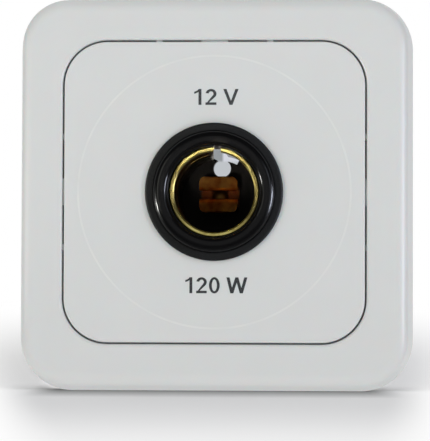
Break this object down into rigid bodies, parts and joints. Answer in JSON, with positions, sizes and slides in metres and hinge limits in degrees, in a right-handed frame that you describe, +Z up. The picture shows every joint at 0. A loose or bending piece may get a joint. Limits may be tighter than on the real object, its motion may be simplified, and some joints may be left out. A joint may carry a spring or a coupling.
{
  "type": "car 12v power socket",
  "caption": "Flush 12 volt plug socket: white square frame and centre plate, black collar, split brass sleeve, centre contact and screw terminals on a steel support plate.",
  "frame": {"origin": "on the socket's axis at the wall face, which is the rear of the frame and of the support plate", "axes": "-Y along the plug bore towards the user, +Y into the wall, +Z up, +X to the right seen from the front"},
  "size_m": [0.0604, 0.0384, 0.0604],
  "materials": {
    "white_plastic": "fine matt moulded",
    "zinc_steel": "zinc plated, pressed",
    "matt_black": "matt",
    "gloss_black": "glossy moulded",
    "sleeve_brass": "rolled sheet, slightly tarnished",
    "contact_bronze": "spring strip",
    "hard_paper": "pressed laminate",
    "rivet_brass": "turned",
    "terminal_brass": "stamped sheet",
    "dark_plastic": "matt moulded"
  },
  "bodies": {
    "root": {"frame": "white_plastic", "centre_plate": "white_plastic", "support_plate": "zinc_steel", "trim_ring": "matt_black", "socket_body": "gloss_black", "negative_sleeve": "sleeve_brass", "positive_contact": "contact_bronze", "base_disc": "hard_paper", "contact_rivet": "rivet_brass", "positive_terminal": "terminal_brass", "positive_wire_clamp": "zinc_steel", "positive_screw": "zinc_steel", "negative_terminal": "terminal_brass", "negative_rivet": "rivet_brass", "negative_wire_clamp": "zinc_steel", "negative_screw": "zinc_steel", "rear_housing": "dark_plastic", "housing_screw_upper": "zinc_steel", "housing_screw_lower": "zinc_steel", "lock_washer": "zinc_steel", "retaining_nut": "zinc_steel"}
  },
  "joints": []
}
